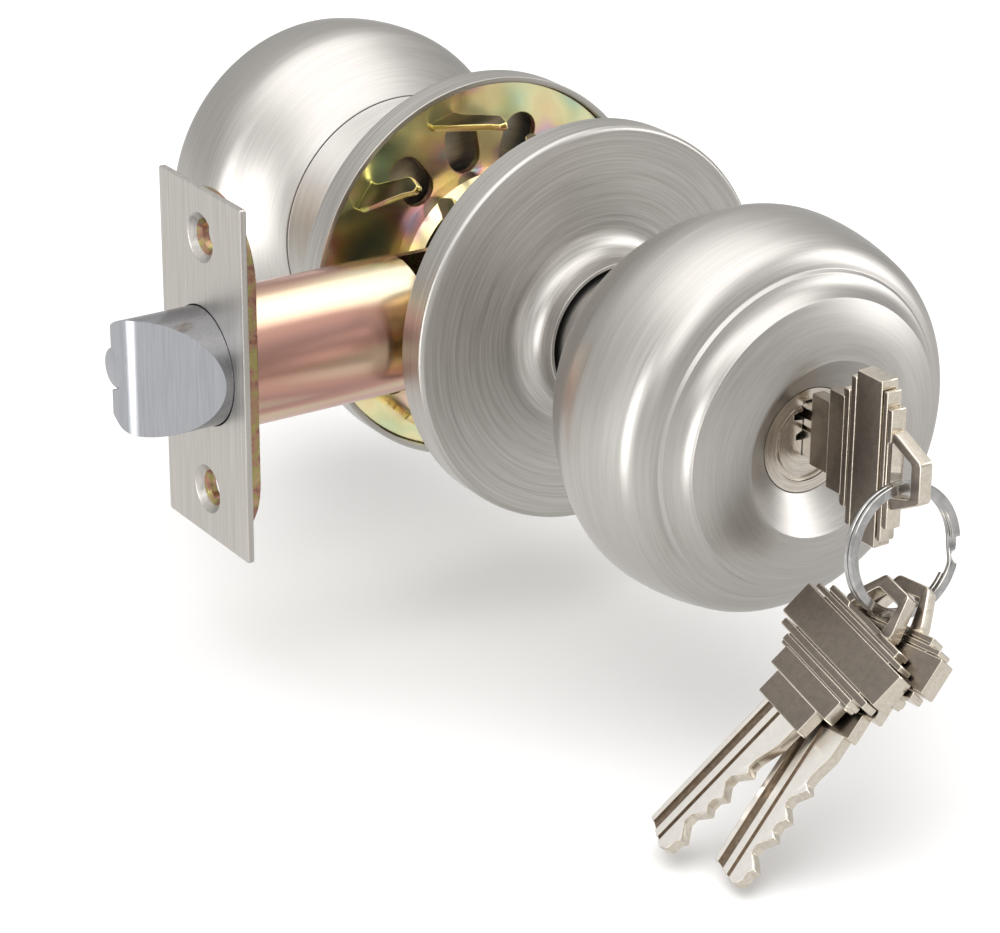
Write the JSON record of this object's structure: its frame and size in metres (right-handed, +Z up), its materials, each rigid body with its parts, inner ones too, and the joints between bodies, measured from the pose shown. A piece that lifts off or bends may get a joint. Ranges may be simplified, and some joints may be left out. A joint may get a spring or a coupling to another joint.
{
  "type": "keyed knob lockset with spring latch",
  "caption": "Ball-knob door lock: keyed outer knob, inner knob with turn button, spring latch with deadlatch plunger, roses, clamp plates, keys on a ring.",
  "frame": {"origin": "where the knob axis crosses the latch axis, midway between the two roses", "axes": "+Y along the knob axis from the keyed knob to the turn-button knob, -X out of the faceplate along the latch, +Z up"},
  "size_m": [0.1051, 0.1911, 0.0822],
  "materials": {
    "satin_nickel": "satin plated zinc and steel",
    "brushed_nickel": "brushed nickel plated steel",
    "yellow_dichromate": "yellow chromate zinc plated steel",
    "bright_zinc": "clear zinc plated steel",
    "dark_steel": "blackened hard steel",
    "spring_steel": "bright spring steel",
    "brass": "machined brass",
    "nickel_brass": "nickel plated brass",
    "nickel_silver": "tumbled nickel silver",
    "ring_steel": "bright nickel plated spring steel",
    "acetal": "moulded acetal"
  },
  "bodies": {
    "latch_case": {"latch_faceplate": "brushed_nickel", "latch_back_plate": "yellow_dichromate", "latch_tube": "yellow_dichromate", "hub_frame": "yellow_dichromate", "frame_rivet": "bright_zinc", "latch_spring": "spring_steel"},
    "bolt": {"latch_bolt": "bright_zinc", "tail_rivet": "bright_zinc", "bolt_tail": "bright_zinc", "deadlatch_spring": "spring_steel"},
    "plunger": {"deadlatch_plunger": "bright_zinc"},
    "cam": {"latch_cam": "dark_steel"},
    "outer_side": {"outer_rose": "satin_nickel", "outer_mount_plate": "yellow_dichromate", "outer_spring_cage": "dark_steel", "outer_return_spring": "spring_steel", "outer_bearing": "acetal", "outer_posts": "bright_zinc"},
    "outer_handle": {"outer_knob_back": "satin_nickel", "outer_knob_shell": "satin_nickel", "outer_snap_ring": "spring_steel", "outer_spindle": "bright_zinc", "cylinder_body": "brass", "cylinder_cap": "brass", "driver_pins": "brass", "pin_springs": "spring_steel"},
    "plug": {"cylinder_plug": "nickel_brass", "key_pins": "brass", "plug_clip": "spring_steel", "torque_blade": "bright_zinc"},
    "lock_key": {"key": "nickel_silver"},
    "ring": {"key_ring": "ring_steel"},
    "front_spare": {"spare_key_front": "nickel_silver"},
    "back_spare": {"spare_key_back": "nickel_silver"},
    "inner_side": {"inner_rose": "satin_nickel", "inner_mount_plate": "yellow_dichromate", "inner_spring_cage": "dark_steel", "inner_return_spring": "spring_steel", "inner_bearing": "acetal", "mounting_screws": "bright_zinc"},
    "inner_handle": {"inner_knob_back": "satin_nickel", "inner_knob_shell": "satin_nickel", "inner_snap_ring": "spring_steel", "inner_driver": "dark_steel"},
    "button": {"turn_button": "satin_nickel", "button_clip": "spring_steel"}
  },
  "joints": [
    {"name": "outer_trim_slide", "type": "slide", "parent": "latch_case", "child": "outer_side", "axis": [0, -1, 0], "range_m": [0, 0.01]},
    {"name": "inner_trim_slide", "type": "slide", "parent": "latch_case", "child": "inner_side", "axis": [0, 1, 0], "range_m": [0, 0.01]},
    {"name": "outer_knob_turn", "type": "hinge", "parent": "outer_side", "child": "outer_handle", "pos_m": [0, 0, 0], "axis": [0, 1, 0], "range_deg": [0, 84], "stiffness_Nm_per_rad": 0.25, "springref_deg": -22.92},
    {"name": "inner_knob_turn", "type": "hinge", "parent": "inner_side", "child": "inner_handle", "pos_m": [0, 0, 0], "axis": [0, 1, 0], "range_deg": [0, 84]},
    {"name": "latch_cam_turn", "type": "hinge", "parent": "latch_case", "child": "cam", "pos_m": [0, 0, 0], "axis": [0, 1, 0], "range_deg": [0, 84]},
    {"name": "bolt_slide", "type": "slide", "parent": "latch_case", "child": "bolt", "axis": [1, 0, 0], "range_m": [0, 0.0124], "deforming": ["latch_spring"]},
    {"name": "deadlatch_slide", "type": "slide", "parent": "bolt", "child": "plunger", "axis": [1, 0, 0], "range_m": [0, 0.009], "stiffness_N_per_m": 100, "springref_m": -0.008, "deforming": ["deadlatch_spring"]},
    {"name": "plug_turn", "type": "hinge", "parent": "outer_handle", "child": "plug", "pos_m": [0, 0, 0], "axis": [0, 1, 0], "range_deg": [0, 90]},
    {"name": "button_turn", "type": "hinge", "parent": "inner_handle", "child": "button", "pos_m": [0, 0, 0], "axis": [0, 1, 0], "range_deg": [0, 90]},
    {"name": "key_slide", "type": "slide", "parent": "plug", "child": "lock_key", "axis": [0, -1, 0], "range_m": [0, 0.03], "deforming": ["key_pins"]},
    {"name": "ring_swing", "type": "hinge", "parent": "lock_key", "child": "ring", "pos_m": [0, -0.0948, 0.00084], "axis": [-1, 0, 0], "range_deg": [-5, 60]},
    {"name": "front_spare_swing", "type": "hinge", "parent": "ring", "child": "front_spare", "pos_m": [-0.0056, -0.0976, -0.0161], "axis": [0.7121, 0, -0.7021], "range_deg": [-15, 15]},
    {"name": "back_spare_swing", "type": "hinge", "parent": "ring", "child": "back_spare", "pos_m": [-0.0018, -0.09783, -0.01678], "axis": [0.7121, 0, -0.7021], "range_deg": [-15, 15]}
  ],
  "couplings": [
    {"joint": "inner_trim_slide", "follows": "outer_trim_slide", "ratio": 1},
    {"joint": "inner_knob_turn", "follows": "outer_knob_turn", "ratio": 1},
    {"joint": "latch_cam_turn", "follows": "outer_knob_turn", "ratio": 1},
    {"joint": "bolt_slide", "follows": "outer_knob_turn", "m_per_rad": 0.0083897},
    {"joint": "button_turn", "follows": "plug_turn", "ratio": 1}
  ]
}
